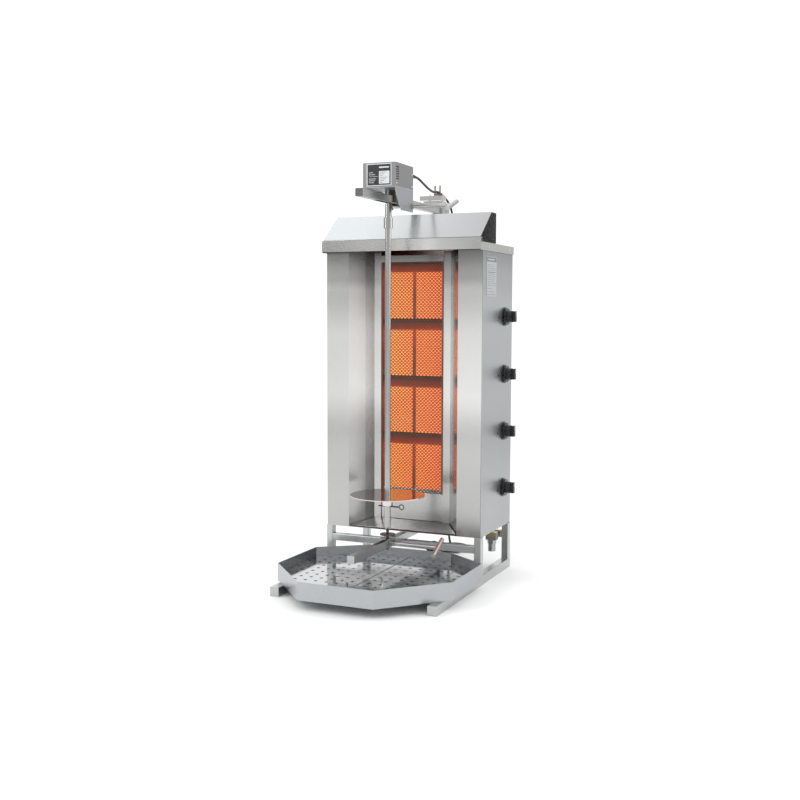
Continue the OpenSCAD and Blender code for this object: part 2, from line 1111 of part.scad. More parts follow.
// Square grid of holes, clear of the edges and the knob.
module perforations(side, outline, knob_at) {
    for (row = [-12:1], column = [0:8]) {
        at = [side * (24 + column * hole_pitch.x), row * hole_pitch.y];
        if (depth_inside(at, outline) > 8 && norm(at - knob_at) > 9)
            translate(at)
                circle(d = hole_d, $fn = 24);
    }
}

module tray_insert_left() {
    tray_insert(-1, [-9, -316]);
}

module tray_insert_right() {
    tray_insert(1, [51, -240]);
}

// ---------- motor cord ----------

// Direction of the route at point i, from its neighbours.
function heading(i) = unit(
    cord_route[min(i + 1, len(cord_route) - 1)] - cord_route[max(i - 1, 0)]
);

// Side direction of each ring: the last ring's side, kept square to the new heading.
function ring_sides(i = 0, side = [1, 0, 0]) =
    let (h = heading(i))
    let (s = unit(side - h * (side * h)))
    i == len(cord_route) - 1 ? [s] : concat([s], ring_sides(i + 1, s));

module motor_cord() {
    sides = 8;
    rings = len(cord_route);
    across = ring_sides();
    points = [
        for (i = [0:rings - 1])
            let (up = cross(heading(i), across[i]))
            for (k = [0:sides - 1])
                let (a = 360 * k / sides)
                cord_route[i] + (across[i] * cos(a) + up * sin(a)) * cord_d / 2
    ];
    walls = [
        for (i = [0:rings - 2], k = [0:sides - 1])
            let (next = (k + 1) % sides)
            [i * sides + k, (i + 1) * sides + k, (i + 1) * sides + next, i * sides + next]
    ];
    start = [for (k = [0:sides - 1]) k];
    end = [for (k = [sides - 1:-1:0]) (rings - 1) * sides + k];
    color(black)
        in_frame()
            polyhedron(points, concat([start, end], walls), convexity = 6);
}

module cord_coil() {
    width = coil_columns * cord_d;
    color(black)
        in_frame()
            translate([coil_at.x, coil_at.y, 0.2])
                rotate_extrude()
                    translate([coil_mean_d / 2 - width / 2, 0])
                        square([width, coil_rows * cord_d]);
}

// Round two-pin plug that lies beside the coil, with its strain relief towards the cord.
module motor_plug() {
    at = [coil_at.x - coil_mean_d / 2, plug_y, plug_d / 2 + 0.2];
    color(black)
        in_frame()
            translate(at) {
                translate([0, -34, 0])
                    rod_along_y(plug_d, 22);
                translate([0, -12, 0])
                    rotate([-90, 0, 0])
                        cylinder(d1 = plug_d, d2 = 16, h = 12);
                translate([0, -3, 0])
                    rotate([-90 - 20, 0, 0])
                        cylinder(d1 = 13, d2 = cord_d + 2, h = 26);
                for (x = [-9.5, 9.5])
                    translate([x, -53, 0])
                        rod_along_y(4.8, 20);
            }
}

foot_rail_left();
foot_rail_right();
tube_end_caps();
frame_posts();
cross_tubes();
lower_bar();
side_panel_left();
side_panel_right();
wing_left();
wing_right();
back_panel();
floor_panel();
burner_plate();
burner_bodies();
burner_plaques();
guard_frame();
mesh_guard();
cap();
hood();
gas_manifold();
gas_valves();
gas_pipes();
gas_inlet();
knob_bezels();
rating_plate();
mast();
mast_head();
height_clamp();
cord_fork();
upper_bar();
panel_screws();
carriage_frame();
guide_shoe();
motor_housing();
type_plate();
drive_motor();
gearbox();
cord_gland();
drive_sleeve();
spit_rod();
meat_disc();
retaining_pin();
lower_saddle();
bearing_pin();
upper_clamp_lever();
lower_clamp_lever();
drip_tray();
tray_insert_left();
tray_insert_right();
valve_stem_1();
valve_stem_2();
valve_stem_3();
valve_stem_4();
knob_1();
knob_2();
knob_3();
knob_4();
motor_cord();
cord_coil();
motor_plug();
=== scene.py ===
import math

import bmesh
import bpy
from mathutils import Matrix, Vector


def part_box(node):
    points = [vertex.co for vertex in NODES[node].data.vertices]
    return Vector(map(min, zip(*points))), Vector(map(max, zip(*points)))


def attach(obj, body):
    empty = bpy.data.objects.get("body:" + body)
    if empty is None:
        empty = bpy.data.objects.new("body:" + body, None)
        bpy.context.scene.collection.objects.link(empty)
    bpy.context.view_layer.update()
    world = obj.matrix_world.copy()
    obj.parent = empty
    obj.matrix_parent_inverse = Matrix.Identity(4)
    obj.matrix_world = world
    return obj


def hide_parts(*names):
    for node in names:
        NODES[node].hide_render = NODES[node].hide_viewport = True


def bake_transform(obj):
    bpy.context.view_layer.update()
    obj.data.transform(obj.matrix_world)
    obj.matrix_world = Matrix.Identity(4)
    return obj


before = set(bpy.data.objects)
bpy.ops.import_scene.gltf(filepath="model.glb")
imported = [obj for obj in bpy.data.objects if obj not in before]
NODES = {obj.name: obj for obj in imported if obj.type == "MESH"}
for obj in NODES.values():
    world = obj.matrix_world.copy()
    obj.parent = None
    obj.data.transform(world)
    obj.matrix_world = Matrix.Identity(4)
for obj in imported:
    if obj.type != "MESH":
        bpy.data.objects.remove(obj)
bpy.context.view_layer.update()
MM = 0.001

# Named places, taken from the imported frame, which is in metres with +X the operator's right,
# +Y the back and +Z up.
SHEET = 1.5  # the front sheets stand this many millimetres ahead of the side panels
MID_X = (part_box("hood")[0].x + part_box("hood")[1].x) / 2
FRONT_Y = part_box("side_panel_right")[0].y - SHEET * MM

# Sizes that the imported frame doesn't give on their own, in millimetres.
BURNERS = 4
BURNER_PITCH = 160
PLAQUE_H = 128
KNOB_Y = 187
LOWEST_KNOB_Z = 242
INSERT_TOP = 46
INSERT_KNOBS = {"left": (-9, -316), "right": (51, -240)}


def place(x, y, z):
    """A point given in millimetres from the housing's middle plane, front face and the floor."""
    return Vector((MID_X + x * MM, FRONT_Y + y * MM, z * MM))


# ---------- mesh helpers ----------


def new_piece(name, mesh, body, material, smooth=False):
    """Links a mesh as a piece of the object that moves with a body."""
    piece = bpy.data.objects.new(name, mesh)
    bpy.context.scene.collection.objects.link(piece)
    if smooth:
        mesh.shade_smooth()
    mesh.materials.append(material)
    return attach(piece, body)


def mesh_of(name, bm):
    """Mesh with its faces turned outwards. Frees bm."""
    bmesh.ops.recalc_face_normals(bm, faces=bm.faces)
    mesh = bpy.data.meshes.new(name)
    bm.to_mesh(mesh)
    bm.free()
    return mesh


def add_block(bm, low, high, material_index=0):
    """Adds a box between two corners to bm."""
    size = Vector(high) - Vector(low)
    middle = (Vector(high) + Vector(low)) / 2
    matrix = Matrix.Translation(middle) @ Matrix.Diagonal((*size, 1))
    made = bmesh.ops.create_cube(bm, size=1, matrix=matrix)
    for face in {f for v in made["verts"] for f in v.link_faces}:
        face.material_index = material_index


def block_piece(name, low, high, body, material, rounded=0.0):
    """Block between two corners in housing millimetres, as its own piece."""
    bm = bmesh.new()
    add_block(bm, place(*low), place(*high))
    piece = new_piece(name, mesh_of(name, bm), body, material)
    return bevelled(piece, rounded * MM) if rounded else piece


DISC_TAPER = 0.9


def disc_piece(name, at, axis, radius, thickness, body, material, domed=False):
    """Slightly tapered disc, or domed head, centred on a point and facing along an axis."""
    bm = bmesh.new()
    turn = Vector(axis).to_track_quat("Z", "Y").to_matrix().to_4x4()
    matrix = Matrix.Translation(place(*at)) @ turn
    if domed:
        flatten = Matrix.Diagonal((1, 1, thickness / radius, 1))
        bmesh.ops.create_uvsphere(
            bm, u_segments=20, v_segments=10, radius=radius * MM, matrix=matrix @ flatten
        )
    else:
        bmesh.ops.create_cone(
            bm,
            cap_ends=True,
            segments=32,
            radius1=radius * MM,
            radius2=radius * DISC_TAPER * MM,
            depth=thickness * MM,
            matrix=matrix,
        )
    return new_piece(name, mesh_of(name, bm), body, material, smooth=domed)


def bevelled(piece, width):
    """Rounds a piece's edges."""
    modifier = piece.modifiers.new("rounded_edges", "BEVEL")
    modifier.width = width
    modifier.segments = 2
    modifier.limit_method = "ANGLE"
    return piece


def smooth_path(points, per_span):
    """Points on a Catmull-Rom curve through the given ones."""
    ends = [points[0] * 2 - points[1], *points, points[-1] * 2 - points[-2]]
    path = []
    for a, b, c, d in zip(ends, ends[1:], ends[2:], ends[3:]):
        for step in range(per_span):
            t = step / per_span
            square_term = (2 * a - 5 * b + 4 * c - d) * t**2
            cube_term = (3 * b - a - 3 * c + d) * t**3
            path.append((2 * b + (c - a) * t + square_term + cube_term) / 2)
    path.append(points[-1])
    return path


def tube_mesh(path, radius):
    """Mesh of a round tube that follows a path."""
    curve = bpy.data.curves.new("tube", "CURVE")
    curve.dimensions = "3D"
    curve.bevel_depth = radius
    curve.bevel_resolution = 4
    curve.use_fill_caps = True
    spline = curve.splines.new("POLY")
    spline.points.add(len(path) - 1)
    for point, at in zip(spline.points, path):
        point.co = (*at, 1)
    swept = bpy.data.objects.new("tube", curve)
    bpy.context.scene.collection.objects.link(swept)
    bpy.context.view_layer.update()
    tube = bpy.data.meshes.new_from_object(swept.evaluated_get(bpy.context.evaluated_depsgraph_get()))
    bpy.data.objects.remove(swept)
    tube.shade_smooth()
    return tube


# ---------- materials ----------


class Nodes:
    """Node tree of a material or world, with short calls that add and link nodes."""

    def __init__(self, tree, coordinates):
        self.tree = tree
        self.coordinates = self.add("ShaderNodeTexCoord").outputs[coordinates]

    def add(self, kind, inputs=None, **settings):
        made = self.tree.nodes.new(kind)
        for key, value in settings.items():
            setattr(made, key, value)
        for key, value in (inputs or {}).items():
            self.put(made.inputs[key], value)
        return made

    def put(self, socket, value):
        if isinstance(value, bpy.types.NodeSocket):
            self.tree.links.new(value, socket)
        else:
            socket.default_value = value

    def noise(self, scale, stretch=(1, 1, 1), detail=4.0, roughness=0.6):
        """Noise over the object's own coordinates, with its features drawn out by stretch."""
        mapped = self.add("ShaderNodeMapping", {"Vector": self.coordinates, "Scale": stretch})
        inputs = {"Vector": mapped.outputs[0], "Scale": scale, "Detail": detail, "Roughness": roughness}
        return self.add("ShaderNodeTexNoise", inputs).outputs["Fac"]

    def axis(self, name):
        """One of the object's own coordinates, in metres."""
        return self.add("ShaderNodeSeparateXYZ", {"Vector": self.coordinates}).outputs[name]

    def stops(self, value, *stops):
        """Colour that changes smoothly through (position, grey or colour) stops."""
        node = self.add("ShaderNodeValToRGB", {"Fac": value})
        ramp = node.color_ramp
        ramp.interpolation = "EASE"
        while len(ramp.elements) < len(stops):
            ramp.elements.new(0.5)
        for element, (position, colour) in zip(ramp.elements, sorted(stops)):
            element.position = position
            element.color = colour if isinstance(colour, tuple) else (colour, colour, colour, 1)
        return node.outputs["Color"]

    def ramp(self, value, low, high, to_low=0.0, to_high=1.0):
        """Value that runs from to_low to to_high while the given one runs from low to high."""
        inputs = {"Value": value, "From Min": low, "From Max": high, "To Min": to_low, "To Max": to_high}
        return self.add("ShaderNodeMapRange", inputs).outputs[0]

    def mix(self, factor, a, b):
        node = self.add("ShaderNodeMix", data_type="RGBA")
        # a mix of colours takes its factor from socket 0 and its colours from sockets 6 and 7
        for socket, value in zip((node.inputs[0], node.inputs[6], node.inputs[7]), (factor, a, b)):
            self.put(socket, value)
        return node.outputs[2]

    def math(self, operation, a, b=0.0):
        node = self.add("ShaderNodeMath", operation=operation)
        self.put(node.inputs[0], a)
        self.put(node.inputs[1], b)
        return node.outputs[0]

    def scaled(self, colour, factor):
        node = self.add("ShaderNodeVectorMath", {0: colour}, operation="SCALE")
        self.put(node.inputs["Scale"], factor)
        return node.outputs[0]

    def profile(self, along, places):
        """Factor that follows (millimetres, factor) places, in order, along one of the axes."""
        low, high = places[0][0], places[-1][0]
        top = max(factor for _, factor in places)
        share = self.ramp(self.axis(along), low * MM, high * MM)
        stops = [((at - low) / (high - low), factor / top) for at, factor in places]
        grey = self.stops(share, *stops)
        return self.math("MULTIPLY", grey, top)


class Surface(Nodes):
    """A new material's nodes, around its principled shader."""

    def __init__(self, name):
        self.material = bpy.data.materials.new(name)
        self.material.use_nodes = True
        super().__init__(self.material.node_tree, "Object")
        self.shader = self.tree.nodes["Principled BSDF"]

    def set(self, **values):
        for key, value in values.items():
            self.put(self.shader.inputs[key.replace("_", " ")], value)

    def spread(self, pattern, low, high):
        """Value between low and high, from the middle of a noise pattern's range."""
        return self.ramp(pattern, 0.3, 0.7, low, high)

    def bump(self, height, depth, strength):
        """Relief that is up to depth millimetres deep."""
        inputs = {"Height": height, "Distance": depth * MM, "Strength": strength}
        self.set(Normal=self.add("ShaderNodeBump", inputs).outputs[0])


def rgb(r, g, b):
    return (r, g, b, 1.0)


def tinted(colour, factor):
    """Colour made darker or lighter, and kept within range."""
    return (*[min(1.0, c * factor) for c in colour[:3]], 1.0)


# stretches the brushing's noise along the axis that the sheet is brushed
GRAIN_ALONG = {"X": (0.02, 1, 1), "Y": (1, 0.02, 1), "Z": (1, 1, 0.02)}


def brushed_steel(
    name, colour, roughness=0.28, grain="Z", variation=0.03, painted_shade=None, painted_light=None, metallic=1.0
):
    """Stainless steel with fine brushing along one axis and faint smears. painted_shade is
    (axis, low, high, colour): painted shade, the colour changes between two places. painted_light is
    (axis, places): painted highlights and painted shade, repeated as light and dark zones along an axis."""
    n = Surface(name)
    brushing = n.noise(2200, GRAIN_ALONG[grain], detail=3)
    smears = n.noise(5, detail=3)
    shade = n.mix(brushing, tinted(colour, 1 - variation), tinted(colour, 1 + variation))
    # painted shade: the colour changes towards a darker one between two places along an axis
    if painted_shade:
        along, low, high, other = painted_shade
        shade = n.mix(n.ramp(n.axis(along), low * MM, high * MM), shade, other)
    # painted highlights and painted shade: light and dark zones along an axis scale the colour
    if painted_light:
        shade = n.scaled(shade, n.profile(*painted_light))
    n.set(Metallic=metallic, Base_Color=shade)
    uneven = n.math("ADD", n.spread(brushing, -0.03, 0.03), n.spread(smears, -0.03, 0.03))
    n.set(Roughness=n.math("ADD", uneven, roughness))
    n.bump(brushing, 0.01, 0.35)
    return n.material


def polished_steel(name, colour, roughness):
    """Bright steel with a slight ripple and a few fine scratches."""
    n = Surface(name)
    scratches = n.noise(700, (1, 0.05, 0.3), detail=2)
    n.set(Metallic=1.0, Base_Color=n.mix(scratches, tinted(colour, 0.96), tinted(colour, 1.03)))
    n.set(Roughness=n.ramp(scratches, 0.35, 0.75, roughness - 0.03, roughness + 0.06))
    n.bump(n.noise(9, detail=2), 0.1, 0.25)
    return n.material


def two_metals(name, lower, upper, axis, split):
    """Steel whose colour changes within a millimetre at one place along an axis."""
    n = Surface(name)
    brushing = n.noise(800, detail=3)
    share = n.ramp(n.axis(axis), split - 0.4 * MM, split + 0.4 * MM)
    shade = n.mix(share, lower, upper)
    n.set(Metallic=1.0, Base_Color=n.mix(n.spread(brushing, 0, 0.12), shade, rgb(0.1, 0.1, 0.1)))
    n.set(Roughness=n.spread(brushing, 0.26, 0.36))
    n.bump(brushing, 0.03, 0.5)
    return n.material


def heated_steel(name, colour, roughness=0.5):
    """Steel that heat has darkened in brown patches."""
    n = Surface(name)
    patches = n.noise(14, detail=5)
    brown = tinted((colour[0] * 1.3, colour[1], colour[2] * 0.8), 0.7)
    n.set(Metallic=0.9, Base_Color=n.mix(patches, colour, brown))
    n.set(Roughness=n.spread(patches, roughness - 0.1, roughness + 0.1))
    n.bump(n.noise(500, detail=3), 0.05, 0.6)
    return n.material


def plastic(name, colour, roughness, grain=0.04):
    """Moulded plastic or rubber with a fine grain, its depth in millimetres, and a little dust."""
    n = Surface(name)
    texture = n.noise(1500, detail=3)
    dust = n.noise(30, detail=4)
    n.set(Base_Color=n.mix(n.ramp(dust, 0.4, 0.8), colour, tinted(colour, 1.25)))
    n.set(Roughness=n.spread(dust, roughness - 0.05, roughness + 0.1))
    n.bump(texture, grain, 0.5)
    return n.material


def painted(name, colour):
    """Satin metallic paint with slight orange peel."""
    n = Surface(name)
    peel = n.noise(350, detail=2)
    n.set(Base_Color=n.mix(n.noise(8), tinted(colour, 0.95), tinted(colour, 1.05)), Metallic=0.55)
    n.set(Roughness=n.spread(peel, 0.35, 0.45))
    n.bump(peel, 0.04, 0.5)
    return n.material


def glowing_ceramic(name):
    """Porous ceramic at red heat: yellower on the left, with rows of fine holes."""
    n = Surface(name)
    holes = n.add("ShaderNodeTexVoronoi", {"Vector": n.coordinates, "Scale": 300.0, "Randomness": 0.15})
    pits = n.ramp(holes.outputs["Distance"], 0.15, 0.45, 0.85, 1.0)
    low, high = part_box("burner_plaques")
    across = n.ramp(n.axis("X"), low.x, high.x)
    hot = n.stops(
        across,
        (0.0, rgb(1.0, 0.36, 0.06)),
        (0.55, rgb(1.0, 0.25, 0.055)),
        (1.0, rgb(0.95, 0.17, 0.055)),
    )
    patches = n.ramp(n.noise(11, detail=3), 0.4, 0.7, 0.0, 0.6)
    mottled = n.mix(patches, hot, rgb(1.0, 0.21, 0.06))
    n.set(Base_Color=rgb(0.42, 0.14, 0.06), Roughness=0.9, Emission_Color=mottled)
    n.set(Emission_Strength=n.math("MULTIPLY", pits, 1.3))
    n.bump(holes.outputs["Distance"], 0.6, 0.6)
    return n.material


def burner_iron(name):
    """Dark iron around the plaques, with a painted glow of their red light beside and above each one, and
    painted shade below the next.
    """
    n = Surface(name)
    patches = n.noise(26, detail=4)
    low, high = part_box("burner_plaques")
    pitch = (high.z - low.z - PLAQUE_H * MM) / (BURNERS - 1)
    from_bottom = n.math("SUBTRACT", n.axis("Z"), low.z)
    within = n.math("DIVIDE", n.math("MODULO", from_bottom, pitch), pitch)
    plaque_top = PLAQUE_H * MM / pitch
    # painted glow and painted shade: the iron glows red beside each plaque, dimmer above it, and dark
    # below the next
    painted_glow = n.stops(
        within,
        (0.0, rgb(0.22, 0.04, 0.02)),
        (plaque_top - 0.02, rgb(0.60, 0.07, 0.022)),
        (plaque_top + 0.06, rgb(0.30, 0.016, 0.006)),
        (0.95, rgb(0.02, 0.004, 0.002)),
        (1.0, rgb(0.02, 0.008, 0.004)),
    )
    n.set(Base_Color=n.mix(patches, rgb(0.05, 0.036, 0.028), rgb(0.03, 0.02, 0.016)), Metallic=0.4)
    n.set(Roughness=n.spread(patches, 0.55, 0.8))
    n.set(Emission_Color=painted_glow, Emission_Strength=n.spread(patches, 0.5, 1.3))
    n.bump(n.noise(300), 0.1, 0.6)
    return n.material


# painted highlights and painted shade, as light and dark zones along an axis: (axis, [(millimetres,
# factor), ...])
PANEL_PAINTED_LIGHT = ("Z", [(130, 0.74), (350, 0.80), (520, 0.95), (750, 1.0), (830, 0.85), (900, 0.62)])
WING_PAINTED_LIGHT = (
    "Z",
    [(130, 0.78), (260, 0.80), (390, 0.95), (520, 1.55), (660, 1.5), (790, 1.15), (830, 0.8), (900, 0.42)],
)
CAP_PAINTED_LIGHT = ("X", [(-240, 0.68), (-60, 1.0), (20, 1.35), (70, 1.6), (130, 1.3), (226, 1.0)])
# painted shade: the hood's colour darkens towards its right end
HOOD_PAINTED_SHADE = ("X", -120, 230, rgb(0.41, 0.41, 0.415))

TUBE_COLOUR = rgb(0.50, 0.51, 0.51)
FRAME_STEEL = brushed_steel("frame_steel", TUBE_COLOUR, 0.30, "Y")
POST_STEEL = brushed_steel("post_steel", TUBE_COLOUR, 0.30, "Z")
CROSS_STEEL = brushed_steel("cross_steel", TUBE_COLOUR, 0.30, "X")
# the upper bar's end caps are dark and those of the frame are not
CAP_ENDS = two_metals("cap_ends", TUBE_COLOUR, rgb(0.17, 0.17, 0.17), "Z", 500 * MM)
BAR_STEEL = brushed_steel("bar_steel", rgb(0.50, 0.50, 0.495), 0.28, "Y")

PANEL_STEEL = brushed_steel("panel_steel", rgb(0.52, 0.54, 0.55), 0.36, "Z", painted_light=PANEL_PAINTED_LIGHT)
WING_STEEL = brushed_steel("wing_steel", rgb(0.56, 0.56, 0.55), 0.22, "Z", painted_light=WING_PAINTED_LIGHT)
CAP_STEEL = brushed_steel("cap_steel", rgb(0.50, 0.50, 0.49), 0.26, "X", painted_light=CAP_PAINTED_LIGHT)
HOOD_STEEL = brushed_steel(
    "hood_steel", rgb(0.62, 0.65, 0.66), 0.24, "X", painted_shade=HOOD_PAINTED_SHADE, metallic=0.8
)
TRAY_STEEL = brushed_steel("tray_steel", rgb(0.42, 0.44, 0.45), 0.28, "X")
INSERT_STEEL = polished_steel("insert_steel", rgb(0.56, 0.56, 0.57), 0.09)

BRIGHT_STEEL = polished_steel("bright_steel", rgb(0.62, 0.62, 0.62), 0.16)
DISC_STEEL = polished_steel("disc_steel", rgb(0.62, 0.60, 0.59), 0.10)
ROD_STEEL = brushed_steel("rod_steel", rgb(0.42, 0.415, 0.41), 0.22, "Z", 0.02)
PIN_STEEL = heated_steel("pin_steel", rgb(0.10, 0.10, 0.10), 0.35)
DARK_STEEL = heated_steel("dark_steel", rgb(0.20, 0.19, 0.18))
MESH_STEEL = heated_steel("mesh_steel", rgb(0.16, 0.10, 0.08), 0.55)
UPPER_LEVER = brushed_steel("upper_lever_steel", rgb(0.44, 0.435, 0.43), 0.28, "X")
# a steel screw with a copper-toned handle
LOWER_LEVER = two_metals(
    "lower_lever_steel", rgb(0.46, 0.455, 0.45), rgb(0.52, 0.41, 0.40), "X", MID_X + 136 * MM
)
BRASS = brushed_steel("brass", rgb(0.60, 0.47, 0.24), 0.32, "Z", 0.08)
# a steel nut below a brass elbow
GAS_FITTING = two_metals("gas_fitting", rgb(0.42, 0.42, 0.41), rgb(0.62, 0.50, 0.30), "Z", 92 * MM)

MOTOR_GREY = painted("motor_grey", rgb(0.245, 0.245, 0.25))
CHEEK_GREY = painted("cheek_grey", rgb(0.34, 0.35, 0.365))
BLACK_GLOSS = plastic("black_gloss", rgb(0.012, 0.012, 0.013), 0.22)
BLACK_RUBBER = plastic("black_rubber", rgb(0.02, 0.02, 0.021), 0.55, grain=0.08)
WHITE_MARK = plastic("white_mark", rgb(0.75, 0.75, 0.74), 0.4)
# black of the type plate's field, also used for the painted shadow behind the motor box's louvres
LABEL_AND_SHADOW_BLACK = plastic("label_and_shadow_black", rgb(0.016, 0.016, 0.018), 0.35)
LABEL_GREY = plastic("label_grey", rgb(0.16, 0.16, 0.165), 0.45)
LABEL_SILVER = brushed_steel("label_silver", rgb(0.60, 0.62, 0.63), 0.42, "X")
CERAMIC = glowing_ceramic("glowing_ceramic")
BURNER_IRON = burner_iron("burner_iron")

FINISHES = {
    FRAME_STEEL: ["foot_rail_left", "foot_rail_right", "lower_bar"],
    CAP_ENDS: ["tube_end_caps"],
    BAR_STEEL: ["upper_bar"],
    POST_STEEL: ["frame_posts", "mast", "gas_manifold", "mast_head"],
    CROSS_STEEL: ["cross_tubes", "valve_stem_1", "valve_stem_2", "valve_stem_3", "valve_stem_4"],
    PANEL_STEEL: ["side_panel_left", "side_panel_right", "back_panel"],
    WING_STEEL: ["wing_left", "wing_right", "floor_panel", "guard_frame"],
    CAP_STEEL: ["cap"],
    HOOD_STEEL: ["hood"],
    TRAY_STEEL: ["drip_tray"],
    INSERT_STEEL: ["tray_insert_left", "tray_insert_right"],
    DISC_STEEL: ["meat_disc"],
    BRIGHT_STEEL: ["height_clamp", "panel_screws"],
    ROD_STEEL: ["drive_sleeve", "spit_rod", "lower_saddle"],
    PIN_STEEL: ["retaining_pin", "bearing_pin"],
    UPPER_LEVER: ["upper_clamp_lever"],
    LOWER_LEVER: ["lower_clamp_lever"],
    DARK_STEEL: ["guide_shoe", "drive_motor", "gearbox", "cord_fork"],
    MESH_STEEL: ["mesh_guard"],
    MOTOR_GREY: ["motor_housing"],
    CHEEK_GREY: ["carriage_frame"],
    BLACK_GLOSS: ["knob_bezels", "knob_1", "knob_2", "knob_3", "knob_4"],
    BLACK_RUBBER: ["cord_gland", "motor_plug", "motor_cord", "cord_coil"],
    BRASS: ["gas_valves", "gas_pipes"],
    GAS_FITTING: ["gas_inlet"],
    LABEL_SILVER: ["rating_plate"],
    LABEL_AND_SHADOW_BLACK: ["type_plate"],
    CERAMIC: ["burner_plaques"],
    BURNER_IRON: ["burner_plate", "burner_bodies"],
}


def finish_cad_nodes():
    for material, names in FINISHES.items():
        for name in names:
            NODES[name].data.materials.clear()
            NODES[name].data.materials.append(material)


# ---------- camera ----------


def make_camera():
    """The photograph's camera, solved from the straight edges that it shows."""
    data = bpy.data.cameras.new("photo_camera")
    data.lens = 48.32
    data.sensor_width = 36
    data.clip_end = 60
    camera = bpy.data.objects.new("photo_camera", data)
    bpy.context.scene.collection.objects.link(camera)
    camera.location = (1.162, -2.641, 0.732)
    camera.rotation_euler = [math.radians(a) for a in (85.35, -0.17, 23.69)]
    bpy.context.scene.camera = camera


# ---------- expanded metal guard ----------

MESH_HALF_W = 90
MESH_BOTTOM = 228
MESH_TOP = 872
MESH_Y = 71
DIAMOND_W = 10.5
DIAMOND_H = 9.6
STRAND = 2.7
STRAND_DEPTH = 1.2
RIVET_Z = 290


def make_mesh_guard():
    """Expanded metal: zigzag strands, each joined at its tips to the strands above and below."""
    bm = bmesh.new()
    steps = round(2 * MESH_HALF_W / (DIAMOND_W / 2))
    strands = round((MESH_TOP - MESH_BOTTOM) / (DIAMOND_H / 2))
    rise = (MESH_TOP - MESH_BOTTOM) / strands
    section = [(0, STRAND / 2), (0, -STRAND / 2), (STRAND_DEPTH, 0)]
    for strand in range(strands):
        rings = []
        for step in range(steps + 1):
            x = -MESH_HALF_W + 2 * MESH_HALF_W * step / steps
            side = 1 if (step + strand) % 2 else -1
            # the tips of neighbouring strands run into each other
            z = MESH_BOTTOM + rise * (strand + 0.5) + side * (rise - STRAND * 0.6) / 2
            rings.append([bm.verts.new(place(x, MESH_Y + dy, z + dz)) for dy, dz in section])
        for a, b in zip(rings, rings[1:]):
            for i in range(3):
                bm.faces.new((a[i], a[(i + 1) % 3], b[(i + 1) % 3], b[i]))
        bm.faces.new(rings[0])
        bm.faces.new(rings[-1][::-1])
    for side in (-1, 1):
        inner, outer = sorted((side * (MESH_HALF_W - 0.5), side * (MESH_HALF_W + 4)))
        add_block(bm, place(inner, MESH_Y - 2, MESH_BOTTOM), place(outer, MESH_Y + 1, MESH_TOP))
    guard = new_piece("mesh_guard_expanded", mesh_of("mesh_guard_expanded", bm), "stand", MESH_STEEL)
    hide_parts("mesh_guard")
    for row in range(BURNERS):
        for side, side_name in ((-1, "left"), (1, "right")):
            name = f"mesh_rivet_{side_name}_{row + 1}"
            at = (side * (MESH_HALF_W + 1.5), MESH_Y - 2, RIVET_Z + row * BURNER_PITCH)
            disc_piece(name, at, (0, -1, 0), 2.6, 1.4, "stand", MESH_STEEL, domed=True)


# ---------- labels, screws and marks ----------


def label_face(node, across, facing, fields):
    """Face of a label, as raised fields (left, right, bottom, top, rise, slot): the sides in shares
    of the label's width and height, and the rise in millimetres. across is the axis along the
    width, 0 for X and 1 for Y, and facing is (axis, sign): where the label looks."""
    low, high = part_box(node)
    size = high - low
    axis, sign = facing
    bm = bmesh.new()
    for left, right, bottom, top, rise, slot in fields:
        corner, opposite = low.copy(), high.copy()
        corner[across] = low[across] + size[across] * left
        opposite[across] = low[across] + size[across] * right
        corner.z = low.z + size.z * bottom
        opposite.z = low.z + size.z * top
        outer = opposite if sign > 0 else corner
        outer[axis] += sign * rise * MM
        add_block(bm, corner, opposite, slot)
    return mesh_of(f"{node}_face", bm)


def ragged(row, step):
    """Share between 0 and 0.75 that changes from one row to the next, for rules of uneven length."""
    return (row * step) % 4 / 4


def make_type_plate():
    """Blank plate on the motor box: pale rim, black field, silver table, with plain rules."""
    rim, black, silver, grey = range(4)
    fields = [
        (0, 1, 0, 1, 0, rim),
        (0.035, 0.965, 0.035, 0.965, 0.2, black),
        (0.50, 0.92, 0.09, 0.66, 0.4, silver),
        (0.50, 0.90, 0.80, 0.86, 0.4, silver),
    ]
    for row in range(7):
        z = 0.14 + row * 0.075
        fields.append((0.53, 0.65 + 0.25 * ragged(row, 5), z, z + 0.02, 0.5, grey))
    for row in range(3):
        z = 0.14 + row * 0.085
        fields.append((0.09, 0.30 + 0.04 * row, z, z + 0.022, 0.4, silver))
    fields.append((0.09, 0.45, 0.42, 0.432, 0.4, silver))
    for row in range(2):
        z = 0.50 + row * 0.09
        fields.append((0.09, 0.34 - 0.08 * row, z, z + 0.022, 0.4, silver))
    face = label_face("type_plate", 0, (1, -1), fields)
    plate = new_piece("type_plate_face", face, "motor_carriage", LABEL_SILVER)
    for material in (LABEL_AND_SHADOW_BLACK, LABEL_SILVER, LABEL_GREY):
        face.materials.append(material)
    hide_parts("type_plate")


